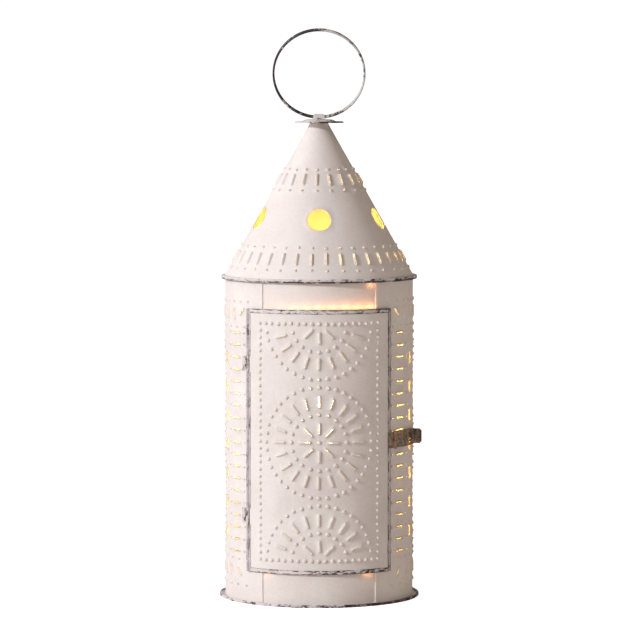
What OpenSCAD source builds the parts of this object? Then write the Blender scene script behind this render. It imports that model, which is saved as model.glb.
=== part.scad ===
// Punched-tin electric lantern: a sheet-metal drum with a hinged door, a hasp,
// a cone roof with round vents, a carrying ring, and a candle lamp inside.
// Origin: centre of the base's underside. +Z is up, -Y is the front (the door),
// +X is the door's latch side. Angles round the drum start at the front and
// grow towards the latch side.

/* [Base] */
// Outer radius of the base flange
base_r = 94.5; // [92:0.5:97]
// Thickness of the folded base rim
base_rim_h = 2.6; // [2:0.1:3.5]
// Thickness of the floor plate
floor_t = 0.8; // [0.6:0.1:1.2]

/* [Drum] */
// Outer radius of the drum
drum_r = 88.5; // [88:0.1:89]
// Height of the drum's top edge
drum_top = 302; // [290:1:310]
// Thickness of the drum, door and band sheets
sheet_t = 0.6; // [0.5:0.05:0.8]
// Half angle of the front opening between the drum's hemmed edges
mouth_a = 36.1; // [34:0.1:38]
// Height that the bottom front band reaches
bottom_band_top = 32.5; // [31:0.5:40]
// Height at which the top front band starts
top_band_bottom = 272.5; // [262:0.5:273]

/* [Roof] */
// Outer radius of the roof rim
rim_r = 92.4; // [91.5:0.1:94]
// Thickness of the roof rim
rim_h = 3.4; // [2.5:0.1:4]
// Outer radius of the cone where it meets the rim
cone_r = 88.7; // [88.5:0.1:89]
// Outer radius of the cone under the cap
cone_top_r = 8.4; // [8:0.1:12]
// Height of the cone's top edge
cone_top = 446; // [430:1:460]
// Horizontal thickness of the cone's sheet
cone_t = 0.8; // [0.6:0.1:1]
// Radius of a round vent
vent_r = 11.1; // [8:0.1:13]
// Number of vents
vent_count = 5; // [4:1:6]
// Height of the vents' centres
vent_z = 357; // [345:1:370]

/* [Cap and ring] */
// Radius of the cap disc
cap_r = 23.3; // [20:0.1:26]
// Thickness of the cap disc
cap_t = 1.4; // [1:0.1:2]
// Height of the boss on the cap
boss_h = 1.9; // [1.5:0.1:2.5]
// Radius of the carrying ring's centre line
ring_r = 42.6; // [38:0.1:46]
// Width of the ring's strap
ring_w = 5.5; // [5:0.1:6]
// Radius of the ring strap's rolled edges
ring_edge_r = 0.95; // [0.8:0.05:1.1]
// Lean of the ring towards the front at rest
ring_lean = 17; // [0:1:20]
// Clear height inside the ring's holder
holder_clear_h = 4.3; // [4.2:0.1:5]
// Width of the ring's holder
holder_w = 12; // [10:0.5:14]

/* [Door] */
// Radius of the door sheet's outer face
door_r = 90.3; // [90.2:0.1:91]
// Bottom of the door
door_bottom = 30.4; // [28:0.1:32]
// Top of the door
door_top = 275.3; // [272:0.1:276]
// Angle of the door's latch edge
latch_edge_a = 47.4; // [47:0.1:49]
// Angle of the hinge wire, counted towards the hinge side
hinge_a = 47; // [46.5:0.1:48]
// Radius at which the hinge wire stands
hinge_r = 90.4; // [90.3:0.1:91]
// Radius of the hinge wire
wire_r = 0.92; // [0.8:0.02:0.92]
// Height of a hinge strap
strap_h = 14; // [12:1:18]
// Height of the upper hinge strap's middle
upper_hinge_z = 224; // [200:1:240]
// Height of the lower hinge strap's middle
lower_hinge_z = 82; // [60:1:110]

/* [Hasp] */
// Height of the hasp's middle
hasp_z = 152.7; // [130:0.1:170]
// Height of the hasp strap
hasp_h = 15; // [14:0.5:18]
// Angle of the hasp pin
hasp_pin_a = 50.4; // [50:0.1:51]
// Angle of the staple
staple_a = 68.6; // [66:0.1:70]
// Angle of the finger tab
tab_a = 77.5; // [76:0.5:80]
// Radius that the finger tab reaches
tab_r = 98.4; // [96:0.1:100]

/* [Lamp] */
// Height of the bracket that carries the lamp
bracket_h = 34.2; // [30:0.1:40]
// Outer radius of the candle sleeve
sleeve_r = 11.2; // [11:0.1:12]
// Height of the candle sleeve's top edge
sleeve_top = 136; // [130:1:142]
// Largest radius of the bulb
bulb_r = 17.5; // [15:0.5:20]
// Height of the bulb's tip
bulb_top = 212; // [200:1:220]
// Height of the cord outlet's centre
outlet_z = 16; // [14:1:24]
// Radius of the cord outlet's bore
outlet_r = 3.2; // [2.5:0.1:4]

/* [Hidden] */
$fn = 96;

cream = "#e7dedb";
worn_steel = "#77726f";
aged_iron = "#6b5444";
brass = "#c9a24b";

drum_in = drum_r - sheet_t;
base_fold_w = 2.5;                    // width of the base flange's fold
rim_chamfer = 0.8;                    // chamfer of the base flange and the roof rim
hem_r = drum_r + 0.5;                 // outer radius of the drum's folded edges
hem_a = 2.2;                          // width of those folds, as an angle
rim_z = drum_top - 2;                 // underside of the roof rim
hem_top = rim_z - 0.4;
band_lap_a = 4;                       // a front band's lap behind the drum's edges
band_fold_h = 5;                      // fold along a front band's doorway edge
rim_top = rim_z + rim_h;
cone_slope = (cone_r - cone_top_r) / (cone_top - rim_top);
cone_tilt = atan(cone_slope);
vent_at_r = cone_r - cone_slope * (vent_z - rim_top);

cap_top = cone_top + cap_t;
boss_top = cap_top + boss_h;
boss_r = 16;                          // foot of the boss
boss_top_r = 11.5;                    // flat on top of the boss
holder_t = 0.8;
holder_clear_y = 3.4;                 // half of the gap between the holder's legs
holder_foot_y = 9.5;                  // reach of the holder's feet
holder_rivet_y = (holder_clear_y + holder_t + holder_foot_y) / 2;
ring_pivot_z = boss_top + holder_clear_h / 2;
ring_web_t = 0.7;

rivet_r = 1.0;                        // shank radius of the hinge and holder rivets
rivet_head_r = 1.7;
rivet_head_h = 0.7;
rivet_tail_r = 1.5;                   // their clinched ends inside the drum
rivet_tail_h = 0.6;

leaf_t = 0.4;                         // thickness of the door's folded bindings
door_in = door_r - sheet_t;
binding_in = door_in - leaf_t;
binding_out = door_r + leaf_t;
binding_h = 3.7;                      // width of the bindings on the door's face
binding_a = 2.4;                      // the same width, as an angle
binding_end_a = hinge_a - 2.3;        // where the hinge-side binding stops
sheet_end_a = hinge_a - 1.5;          // the door sheet's edge inside that binding
fold_a = 0.25;                        // thickness of a binding's fold, as an angle
tube_r = 1.55;                        // the door edge rolled round the hinge wire
hinge_clear = 0.08;                   // running clearance of wire and pin
strap_t = 0.6;
strap_gap = 0.5;                      // gap between a strap and the rolled edge
strap_end_a = 53.3;
strap_rivet_a = 50.8;
strap_rivet_dz = 3.6;
barrel_r = 1.6;

hasp_t = 0.8;
hasp_in = binding_out - 0.2;          // inner face of the hasp strap
hasp_pin_r = 0.8;
hasp_pivot_r = binding_out + 1.2;     // radius at which the hasp pin stands
hasp_barrel_r = 1.5;
hasp_knuckle_h = 7.2;                 // the strap's own knuckle, between the leaf's two
hasp_gap = 0.2;
hasp_start_a = hasp_pin_a + 1.4;
staple_wire_r = 1.1;
staple_half_h = 3;
staple_out = 94;                      // radius of the staple's bridge
slot_half_h = 5.3;
slot_from_a = 67;
slot_to_a = 70.4;

grommet_flange_r = 7;
grommet_neck_r = 5.2;                 // hole of the cord outlet's bush in the drum
grommet_flange_t = 1.6;
nipple_r = 4.8;
nipple_bore_r = 3.3;
nipple_below = 7;                     // length of the nipple under the bracket's top
nipple_len = 15;
locknut_r = 8;
locknut_h = 3.2;
bracket_t = 1.2;
bracket_w = 20;
bracket_leg_x = 26;
bracket_foot_x = 44;
bracket_rivet_x = 36;
bracket_rivet_r = 1.6;
bracket_rivet_head_r = 2.8;
bracket_rivet_head_h = 1.2;
stem_y = 8.2;                         // flat on the lampholder where its stem lies
stem_foot_r = 9.4;
stem_foot_t = 1.5;
stem_w = 7.6;
stem_t = 1;
stem_stop = 8;                        // how far the stem ends below the lampholder's top
holder_floor = 106.5;                 // bottom of the lampholder's cup
holder_top = 128;
holder_base_t = 6;                    // moulded base under that cup
holder_body_r = 8.8;
screw_shell_r = 6.5;
screw_shell_in_r = 6;
screw_shell_gap = 1;                  // gap between the screw shell and the cup's floor
holder_contact_r = 2.6;
holder_contact_h = 0.8;
sleeve_t = 0.8;
cap_base = holder_floor + 3.8;        // bottom of the bulb's screw cap
bulb_cap_top = 127.3;
bulb_cap_r = 5.9;
bulb_cap_in_r = 5.4;
insulator_r = 2.4;                    // narrow end of the bulb's insulator
insulator_h = 2;
bulb_contact_r = 1.8;
glass_t = 0.8;
neck_r = 5;                           // bulb's neck, inside its screw cap
neck_z = bulb_cap_top - 3;
bulb_wide_u = 0.36;                   // where the bulb is widest, of its height
post_h = 34;                          // height of the glass post inside the bulb
flare_h = 12;                         // height of that post's flared foot
flare_top_r = 2;
post_r = 1.6;
filament_r = 0.35;
filament_z = 178;
arch_r = 4.5;                         // half width of the filament's arch

// Everything at an angle round the drum, on the radius r
module around(a, r = 0) {
  rotate([0, 0, a]) translate([0, -r, 0]) children();
}

// A flat profile of radius and height, swept from one angle to another
module sweep(from_a, to_a) {
  rotate([0, 0, from_a - 90]) rotate_extrude(angle = to_a - from_a) children();
}

// A rectangle between two radii and two heights
module band(r0, r1, z0, z1) {
  translate([r0, z0]) square([r1 - r0, z1 - z0]);
}

// A cylinder that lies along the radius, from radius r0 to r1, at angle a
module radial(a, z, r, r0, r1) {
  around(a, r0) translate([0, 0, z]) rotate([90, 0, 0]) cylinder(r = r, h = r1 - r0);
}

// A profile drawn in X and Z, as deep as d along Y
module along_y(d) {
  rotate([90, 0, 0]) linear_extrude(d, center = true) children();
}

// A profile drawn in Y and Z, as wide as w along X
module along_x(w) {
  rotate([90, 0, 90]) linear_extrude(w, center = true) children();
}

function hinge_zs() = [upper_hinge_z, lower_hinge_z];

// ---------------------------------------------------------------- base and drum

module base_plate() {
  color(cream) cylinder(r = base_r - base_fold_w, h = floor_t);
}

// Folded flange round the floor plate
module base_rim() {
  fold_in = base_r - base_fold_w;
  color(worn_steel) rotate_extrude() polygon([
    [fold_in, 0], [base_r - rim_chamfer, 0], [base_r, rim_chamfer],
    [base_r, base_rim_h - rim_chamfer], [base_r - rim_chamfer, base_rim_h],
    [fold_in, base_rim_h]
  ]);
}

// Three sides of the drum, with its two front edges folded outwards
module body_shell() {
  color(cream) difference() {
    union() {
      sweep(mouth_a, 360 - mouth_a) band(drum_in, drum_r, floor_t, drum_top);
      sweep(mouth_a, mouth_a + hem_a) band(drum_in, hem_r, floor_t, hem_top);
      sweep(-mouth_a - hem_a, -mouth_a) band(drum_in, hem_r, floor_t, hem_top);
    }
    radial(180, outlet_z, grommet_neck_r, drum_in - 2, drum_r + 2);
    for (z = hinge_zs(), dz = [-strap_rivet_dz, strap_rivet_dz])
      radial(-strap_rivet_a, z + dz, rivet_r, drum_in - 2, drum_r + 2);
  }
}

// A front band lies inside the drum's edges, above or below the doorway
module front_band(z0, z1, fold_z0, fold_z1) {
  half_a = mouth_a + band_lap_a;
  sweep(-half_a, half_a) band(drum_in - sheet_t, drum_in, z0, z1);
  sweep(-half_a, half_a) band(drum_in - 2 * sheet_t, drum_in - sheet_t, fold_z0, fold_z1);
}

module bottom_band() {
  color(cream)
    front_band(floor_t, bottom_band_top, bottom_band_top - band_fold_h, bottom_band_top);
}

module top_band() {
  color(cream)
    front_band(top_band_bottom, drum_top, top_band_bottom, top_band_bottom + band_fold_h);
}

// ---------------------------------------------------------------- roof

// Folded rim that caps the drum and carries the cone
module roof_rim() {
  color(worn_steel) rotate_extrude() polygon([
    [drum_r, rim_z], [rim_r - rim_chamfer, rim_z], [rim_r, rim_z + rim_chamfer],
    [rim_r, rim_top - rim_chamfer], [rim_r - rim_chamfer, rim_top],
    [drum_in, rim_top], [drum_in, drum_top], [drum_r, drum_top]
  ]);
}

module roof_cone() {
  color(cream) difference() {
    rotate_extrude() polygon([
      [cone_r - cone_t, rim_top], [cone_r, rim_top],
      [cone_top_r, cone_top], [cone_top_r - cone_t, cone_top]
    ]);
    for (i = [0 : vent_count - 1])
      around(i * 360 / vent_count, vent_at_r) translate([0, 0, vent_z])
        rotate([90 - cone_tilt, 0, 0]) cylinder(r = vent_r, h = 16, center = true);
  }
}

module cap_disc() {
  color(worn_steel) translate([0, 0, cone_top]) cylinder(r = cap_r, h = cap_t);
}

// Low dished foot that stiffens the cap under the ring's holder
module cap_boss() {
  color(cream) difference() {
    translate([0, 0, cap_top]) cylinder(r1 = boss_r, r2 = boss_top_r, h = boss_h);
    for (s = [-1, 1])
      translate([0, s * holder_rivet_y, cap_top - 1]) cylinder(r = rivet_r, h = boss_h + 2);
  }
}

// Strap bent into a loop over the ring, with a foot at the front and the back
module ring_holder() {
  outer_y = holder_clear_y + holder_t;
  outer_h = holder_clear_h + holder_t;
  chamfer = 0.5;
  color(cream) translate([0, 0, boss_top]) difference() {
    along_x(holder_w) polygon([
      [-holder_foot_y, 0], [-holder_foot_y, holder_t], [-outer_y, holder_t],
      [-outer_y, outer_h - chamfer], [-outer_y + chamfer, outer_h],
      [outer_y - chamfer, outer_h], [outer_y, outer_h - chamfer],
      [outer_y, holder_t], [holder_foot_y, holder_t], [holder_foot_y, 0],
      [holder_clear_y, 0], [holder_clear_y, holder_clear_h],
      [-holder_clear_y, holder_clear_h], [-holder_clear_y, 0]
    ]);
    for (s = [-1, 1])
      translate([0, s * holder_rivet_y, -1]) cylinder(r = rivet_r, h = holder_t + 2);
  }
}

module holder_rivets() {
  color(worn_steel) for (s = [-1, 1]) translate([0, s * holder_rivet_y, 0]) {
    translate([0, 0, cap_top]) cylinder(r = rivet_r, h = boss_h + holder_t);
    translate([0, 0, boss_top + holder_t])
      cylinder(r1 = rivet_head_r, r2 = rivet_r, h = rivet_head_h);
  }
}

// Narrow strap with rolled edges, closed into a ring; its lowest point is the pivot
module carry_ring() {
  edge = ring_w / 2 - ring_edge_r;
  color(worn_steel) translate([0, 0, ring_pivot_z]) rotate([ring_lean, 0, 0])
    translate([0, 0, ring_r]) rotate([90, 0, 0]) rotate_extrude() {
      translate([ring_r - ring_web_t / 2, -edge]) square([ring_web_t, 2 * edge]);
      for (s = [-1, 1]) translate([ring_r, s * edge]) circle(r = ring_edge_r);
    }
}

// ---------------------------------------------------------------- hinges

// Strap riveted to the drum, with its end rolled round the hinge wire
module hinge_strap(z) {
  color(worn_steel) difference() {
    union() {
      sweep(-strap_end_a, -hinge_a)
        band(drum_r, drum_r + strap_t, z - strap_h / 2, z + strap_h / 2);
      around(-hinge_a, hinge_r) translate([0, 0, z - strap_h / 2])
        cylinder(r = barrel_r, h = strap_h);
    }
    around(-hinge_a, hinge_r) translate([0, 0, z - strap_h])
      cylinder(r = wire_r + hinge_clear, h = 2 * strap_h);
    for (dz = [-strap_rivet_dz, strap_rivet_dz])
      radial(-strap_rivet_a, z + dz, rivet_r, drum_r - 1, drum_r + 2);
  }
}

module upper_hinge_strap() { hinge_strap(upper_hinge_z); }

module lower_hinge_strap() { hinge_strap(lower_hinge_z); }

module hinge_strap_rivets() {
  outer = drum_r + strap_t;
  inner_head = drum_in - 0.02;
  color(worn_steel) for (z = hinge_zs(), dz = [-strap_rivet_dz, strap_rivet_dz]) {
    radial(-strap_rivet_a, z + dz, rivet_r, inner_head, outer);
    radial(-strap_rivet_a, z + dz, rivet_head_r, outer, outer + rivet_head_h);
    radial(-strap_rivet_a, z + dz, rivet_tail_r, inner_head - rivet_tail_h, inner_head);
  }
}

// ---------------------------------------------------------------- door

module door_panel() {
  color(cream) sweep(-sheet_end_a, latch_edge_a - fold_a)
    band(door_in, door_r, door_bottom + leaf_t, door_top - leaf_t);
}

// Folded strip over the door's top or bottom edge; the fold is at height fold_z
module edge_binding(z0, z1, slot_z0, slot_z1) {
  sweep(-binding_end_a, latch_edge_a - binding_a) difference() {
    band(binding_in, binding_out, z0, z1);
    band(door_in, door_r, slot_z0, slot_z1);
  }
}

module door_top_binding() {
  color(worn_steel) edge_binding(
    door_top - binding_h, door_top, door_top - binding_h - 1, door_top - leaf_t);
}

module door_bottom_binding() {
  color(worn_steel) edge_binding(
    door_bottom, door_bottom + binding_h, door_bottom + leaf_t, door_bottom + binding_h + 1);
}

module door_latch_binding() {
  color(worn_steel) difference() {
    sweep(latch_edge_a - binding_a, latch_edge_a)
      band(binding_in, binding_out, door_bottom, door_top);
    sweep(latch_edge_a - binding_a - 1, latch_edge_a - fold_a)
      band(door_in, door_r, door_bottom - 1, door_top + 1);
  }
}

// One length of the door's hinge edge, rolled round the wire
module rolled_edge(z0, z1) {
  difference() {
    union() {
      around(-hinge_a, hinge_r) translate([0, 0, z0]) cylinder(r = tube_r, h = z1 - z0);
      sweep(-hinge_a, -binding_end_a) band(binding_in, binding_out, z0, z1);
    }
    sweep(-sheet_end_a, -binding_end_a + 1) band(door_in, door_r, z0 - 1, z1 + 1);
    around(-hinge_a, hinge_r) translate([0, 0, z0 - 1]) cylinder(r = wire_r, h = z1 - z0 + 2);
  }
}

module door_hinge_binding() {
  clear = strap_h / 2 + strap_gap;
  color(worn_steel) {
    rolled_edge(door_bottom, lower_hinge_z - clear);
    rolled_edge(lower_hinge_z + clear, upper_hinge_z - clear);
    rolled_edge(upper_hinge_z + clear, door_top);
  }
}

module door_hinge_wire() {
  color(worn_steel) around(-hinge_a, hinge_r) translate([0, 0, door_bottom])
    cylinder(r = wire_r, h = door_top - door_bottom);
}

// ---------------------------------------------------------------- hasp

module hasp_hinge_leaf() {
  z0 = hasp_z - hasp_h / 2;
  knuckle = (hasp_h - hasp_knuckle_h) / 2 - hasp_gap;
  color(aged_iron) difference() {
    union() {
      sweep(latch_edge_a - binding_a, hasp_pin_a)
        band(binding_out, binding_out + strap_t, z0, z0 + hasp_h);
      around(hasp_pin_a, hasp_pivot_r) translate([0, 0, z0])
        cylinder(r = hasp_barrel_r, h = hasp_h);
    }
    around(hasp_pin_a, hasp_pivot_r) translate([0, 0, z0 + knuckle])
      cylinder(r = hasp_barrel_r + 0.35, h = hasp_h - 2 * knuckle);
    around(hasp_pin_a, hasp_pivot_r) translate([0, 0, z0 - 1])
      cylinder(r = hasp_pin_r, h = hasp_h + 2);
  }
}

module hasp_pin() {
  head_h = 0.7;
  z0 = hasp_z - hasp_h / 2;
  color(aged_iron) around(hasp_pin_a, hasp_pivot_r) {
    translate([0, 0, z0]) cylinder(r = hasp_pin_r, h = hasp_h);
    translate([0, 0, z0 - head_h]) cylinder(r = 1.3, h = head_h);
    translate([0, 0, z0 + hasp_h]) cylinder(r = 1.3, h = head_h);
  }
}

// Curved strap that drops over the staple and ends in an outward finger tab
module hasp_strap() {
  z0 = hasp_z - hasp_h / 2;
  knuckle_z = hasp_z - hasp_knuckle_h / 2;
  tab_half_h = hasp_h / 2 - 0.5;
  corner = 1.6;
  roll_r = 0.8;
  color(aged_iron) difference() {
    union() {
      sweep(hasp_start_a, tab_a) band(hasp_in, hasp_in + hasp_t, z0, z0 + hasp_h);
      sweep(hasp_pin_a, hasp_start_a + 0.5)
        band(hasp_in, hasp_in + hasp_t, knuckle_z, knuckle_z + hasp_knuckle_h);
      around(hasp_pin_a, hasp_pivot_r) translate([0, 0, knuckle_z])
        cylinder(r = hasp_barrel_r, h = hasp_knuckle_h);
      around(tab_a) translate([0, 0, hasp_z]) along_x(hasp_t) polygon([
        [-hasp_in, -tab_half_h], [-hasp_in, tab_half_h],
        [-tab_r + corner, tab_half_h], [-tab_r, tab_half_h - corner],
        [-tab_r, -tab_half_h + corner], [-tab_r + corner, -tab_half_h]
      ]);
      around(tab_a, tab_r - roll_r / 2) translate([0, 0, hasp_z - tab_half_h + corner])
        cylinder(r = roll_r, h = 2 * (tab_half_h - corner));
    }
    around(hasp_pin_a, hasp_pivot_r) translate([0, 0, z0])
      cylinder(r = hasp_pin_r + hinge_clear, h = hasp_h);
    sweep(slot_from_a, slot_to_a)
      band(hasp_in - 2, hasp_in + 4, hasp_z - slot_half_h, hasp_z + slot_half_h);
  }
}

// Wire bridge on the drum that the hasp drops over
module latch_staple() {
  color(aged_iron) difference() {
    union() {
      for (s = [-1, 1]) {
        radial(staple_a, hasp_z + s * staple_half_h, staple_wire_r, drum_r - 1, staple_out);
        around(staple_a, staple_out) translate([0, 0, hasp_z + s * staple_half_h])
          sphere(r = staple_wire_r);
      }
      around(staple_a, staple_out) translate([0, 0, hasp_z])
        cylinder(r = staple_wire_r, h = 2 * staple_half_h, center = true);
    }
    cylinder(r = drum_r, h = drum_top);
  }
}

// ---------------------------------------------------------------- lamp

// Rubber bush for the supply cord, low at the back of the drum
module cord_grommet() {
  lip = grommet_flange_t;
  color("#2b2724") difference() {
    radial(180, outlet_z, grommet_flange_r, drum_in - lip, drum_r + lip);
    difference() {
      rotate_extrude() band(drum_in, drum_r, 0, outlet_z + grommet_flange_r + 1);
      radial(180, outlet_z, grommet_neck_r, drum_in - 2, drum_r + 2);
    }
    radial(180, outlet_z, outlet_r, drum_in - 4, drum_r + 4);
  }
}

// Hat-shaped strip across the floor that carries the lamp
module lamp_bracket() {
  inner_x = bracket_leg_x - bracket_t;
  foot_z = floor_t + bracket_t;
  color(worn_steel) difference() {
    along_y(bracket_w) polygon([
      [-bracket_foot_x, floor_t], [-bracket_foot_x, foot_z], [-bracket_leg_x, foot_z],
      [-bracket_leg_x, bracket_h], [bracket_leg_x, bracket_h], [bracket_leg_x, foot_z],
      [bracket_foot_x, foot_z], [bracket_foot_x, floor_t], [inner_x, floor_t],
      [inner_x, bracket_h - bracket_t], [-inner_x, bracket_h - bracket_t],
      [-inner_x, floor_t]
    ]);
    translate([0, 0, bracket_h - 5]) cylinder(r = nipple_r, h = 10);
    for (s = [-1, 1])
      translate([s * bracket_rivet_x, 0, 0]) cylinder(r = bracket_rivet_r, h = 5);
  }
}

module bracket_rivets() {
  color(worn_steel) for (s = [-1, 1]) translate([s * bracket_rivet_x, 0, floor_t]) {
    cylinder(r = bracket_rivet_r, h = bracket_t);
    translate([0, 0, bracket_t])
      cylinder(r1 = bracket_rivet_head_r, r2 = bracket_rivet_r, h = bracket_rivet_head_h);
  }
}

// Hollow threaded tube that clamps the lampholder to its bracket
module threaded_nipple() {
  color(brass) translate([0, 0, bracket_h - nipple_below]) difference() {
    cylinder(r = nipple_r, h = nipple_len);
    translate([0, 0, -1]) cylinder(r = nipple_bore_r, h = nipple_len + 2);
  }
}

module nipple_locknut() {
  color(brass) translate([0, 0, bracket_h - bracket_t - locknut_h]) difference() {
    cylinder(r = locknut_r, h = locknut_h, $fn = 6);
    translate([0, 0, -1]) cylinder(r = nipple_r, h = locknut_h + 2);
  }
}

// Foot washer and upright strip that hold the lampholder over the nipple
module lampholder_stem() {
  color(worn_steel) difference() {
    union() {
      translate([0, 0, bracket_h]) cylinder(r = stem_foot_r, h = stem_foot_t);
      translate([-stem_w / 2, stem_y, bracket_h])
        cube([stem_w, stem_t, holder_top - stem_stop - bracket_h]);
    }
    translate([0, 0, bracket_h - 1]) cylinder(r = nipple_r, h = stem_foot_t + 2);
  }
}

// Moulded cup that insulates the screw shell
module lampholder_body() {
  color("#2f2a27") difference() {
    translate([0, 0, holder_floor - holder_base_t])
      cylinder(r = holder_body_r, h = holder_top - holder_floor + holder_base_t);
    translate([0, 0, holder_floor]) cylinder(r = screw_shell_r, h = holder_top);
    translate([-holder_body_r, stem_y, 0]) cube([2 * holder_body_r, 5, holder_top + 1]);
  }
}

module lampholder_screw_shell() {
  shell_h = holder_top - holder_floor - 1.5 * screw_shell_gap;
  color(brass) translate([0, 0, holder_floor + screw_shell_gap]) difference() {
    cylinder(r = screw_shell_r, h = shell_h);
    translate([0, 0, -1]) cylinder(r = screw_shell_in_r, h = shell_h + 2);
  }
}

module lampholder_contact() {
  color(brass) translate([0, 0, holder_floor])
    cylinder(r = holder_contact_r, h = holder_contact_h);
}

module candle_sleeve() {
  color("#efe6cf") translate([0, 0, bracket_h]) difference() {
    cylinder(r = sleeve_r, h = sleeve_top - bracket_h);
    translate([0, 0, -1]) cylinder(r = sleeve_r - sleeve_t, h = sleeve_top);
  }
}

// Half width of the bulb at a fraction u of its height: a neck that swells to the
// widest point at a third of the height and draws in to a rounded tip
function bulb_half(u, r, neck) =
  u < bulb_wide_u
    ? neck + (r - neck) * (1 - cos(180 * u / bulb_wide_u)) / 2
    : r * pow(max(0, 1 - pow((u - bulb_wide_u) / (1 - bulb_wide_u), 2.4)), 0.72);

// Half of a bulb's outline, from the neck up to the tip on the axis
function bulb_side(z0, z1, r, neck, steps = 22) =
  [for (i = [0 : steps]) [bulb_half(i / steps, r, neck), z0 + (z1 - z0) * i / steps]];

module bulb_glass() {
  neck_in = neck_r - glass_t;
  color("#fff4d8", 0.5) difference() {
    rotate_extrude() polygon(
      concat([[0, neck_z]], bulb_side(neck_z, bulb_top, bulb_r, neck_r)));
    rotate_extrude() polygon(
      concat([[0, neck_z - 1], [neck_in, neck_z - 1]],
        bulb_side(neck_z, bulb_top - glass_t, bulb_r - glass_t, neck_in)));
  }
}

module bulb_screw_cap() {
  color(brass) translate([0, 0, cap_base]) difference() {
    cylinder(r = bulb_cap_r, h = bulb_cap_top - cap_base);
    translate([0, 0, -1]) cylinder(r = bulb_cap_in_r, h = bulb_cap_top);
  }
}

module bulb_insulator() {
  color("#1d1a19") translate([0, 0, cap_base - insulator_h])
    cylinder(r1 = insulator_r, r2 = bulb_cap_in_r, h = insulator_h);
}

module bulb_contact() {
  z0 = holder_floor + holder_contact_h;
  color("#a9a6a0") translate([0, 0, z0])
    cylinder(r = bulb_contact_r, h = cap_base - insulator_h - z0);
}

// Pressed glass foot and post inside the bulb
module bulb_stem() {
  color("#dfe7e6", 0.6) translate([0, 0, neck_z]) {
    cylinder(r1 = neck_r - glass_t, r2 = flare_top_r, h = flare_h);
    translate([0, 0, flare_h]) cylinder(r = post_r, h = post_h - flare_h);
  }
}

// Two lead wires and the arch of filament between them
module bulb_filament() {
  post_top = neck_z + post_h + filament_r;
  color("#f5b84c") {
    translate([0, 0, filament_z]) rotate([90, 0, 0]) rotate_extrude(angle = 180)
      translate([arch_r, 0]) circle(r = filament_r);
    for (s = [-1, 1]) translate([s * arch_r, 0, post_top])
      cylinder(r = filament_r, h = filament_z - post_top);
    translate([0, 0, post_top]) rotate([0, 90, 0])
      cylinder(r = filament_r, h = 2 * arch_r, center = true);
  }
}

base_plate();
base_rim();
body_shell();
bottom_band();
top_band();
roof_rim();
roof_cone();
cap_disc();
cap_boss();
ring_holder();
holder_rivets();
upper_hinge_strap();
lower_hinge_strap();
hinge_strap_rivets();
latch_staple();
cord_grommet();
lamp_bracket();
bracket_rivets();
threaded_nipple();
nipple_locknut();
lampholder_stem();
lampholder_body();
lampholder_screw_shell();
lampholder_contact();
candle_sleeve();
bulb_glass();
bulb_screw_cap();
bulb_insulator();
bulb_contact();
bulb_stem();
bulb_filament();
door_panel();
door_top_binding();
door_bottom_binding();
door_latch_binding();
door_hinge_binding();
door_hinge_wire();
hasp_hinge_leaf();
hasp_pin();
hasp_strap();
carry_ring();
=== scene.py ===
import math

import bpy
import numpy as np
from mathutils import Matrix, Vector
from mathutils.geometry import delaunay_2d_cdt


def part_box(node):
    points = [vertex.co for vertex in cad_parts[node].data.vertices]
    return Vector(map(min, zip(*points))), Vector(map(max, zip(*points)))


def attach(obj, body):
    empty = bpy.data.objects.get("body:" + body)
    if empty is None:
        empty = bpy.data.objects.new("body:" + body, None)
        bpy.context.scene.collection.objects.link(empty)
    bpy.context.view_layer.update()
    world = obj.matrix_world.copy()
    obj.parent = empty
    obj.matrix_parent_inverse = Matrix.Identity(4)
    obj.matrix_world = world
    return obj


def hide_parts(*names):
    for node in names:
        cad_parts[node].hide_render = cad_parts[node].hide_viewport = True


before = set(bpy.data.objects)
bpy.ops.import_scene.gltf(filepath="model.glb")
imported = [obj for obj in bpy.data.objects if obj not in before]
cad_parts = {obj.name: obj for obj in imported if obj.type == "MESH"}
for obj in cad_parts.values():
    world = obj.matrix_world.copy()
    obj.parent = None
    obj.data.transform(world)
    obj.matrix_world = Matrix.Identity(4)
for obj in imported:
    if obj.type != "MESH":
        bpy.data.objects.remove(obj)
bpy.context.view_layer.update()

MM = 0.001
rng = np.random.default_rng(7)


# ---------------------------------------------------------------- camera, light, floor

def aim_camera():
    """Camera at eye height in front of the lantern, tilted slightly down."""
    data = bpy.data.cameras.new("camera")
    data.lens = 209.8
    data.sensor_width = 36
    data.clip_end = 60
    camera = bpy.data.objects.new("camera", data)
    camera.location = (0.0009, -3.51, 0.502)
    tilt = 3.94
    camera.rotation_euler = (math.radians(90 - tilt), 0, 0)
    bpy.context.scene.collection.objects.link(camera)
    bpy.context.scene.camera = camera


def area_light(name, place, target, power, size, colour):
    """Round area light that points at the target."""
    data = bpy.data.lights.new(name, "AREA")
    data.shape = "DISK"
    data.size = size
    data.energy = power
    data.color = colour
    light = bpy.data.objects.new(name, data)
    light.location = place
    light.rotation_euler = (Vector(target) - Vector(place)).to_track_quat("-Z", "Y").to_euler()
    bpy.context.scene.collection.objects.link(light)
    return light


aim_camera()
bpy.context.scene.view_settings.view_transform = "Standard"


# ---------------------------------------------------------------- node helpers

def fill(tree, node, values):
    """Gives inputs of a node a constant or another node's output."""
    for key, value in values.items():
        if isinstance(value, bpy.types.NodeSocket):
            tree.links.new(value, node.inputs[key])
        else:
            node.inputs[key].default_value = value


def put(tree, kind, values=(), **options):
    """Adds a shader node with its options set and its inputs filled."""
    made = tree.nodes.new("ShaderNode" + kind)
    for key, value in options.items():
        setattr(made, key, value)
    fill(tree, made, dict(values))
    return made


def mixed(tree, factor, low, high):
    """Colour that goes from low to high with the factor."""
    return put(tree, "Mix", {0: factor, 6: low, 7: high}, data_type="RGBA").outputs[2]


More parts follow.
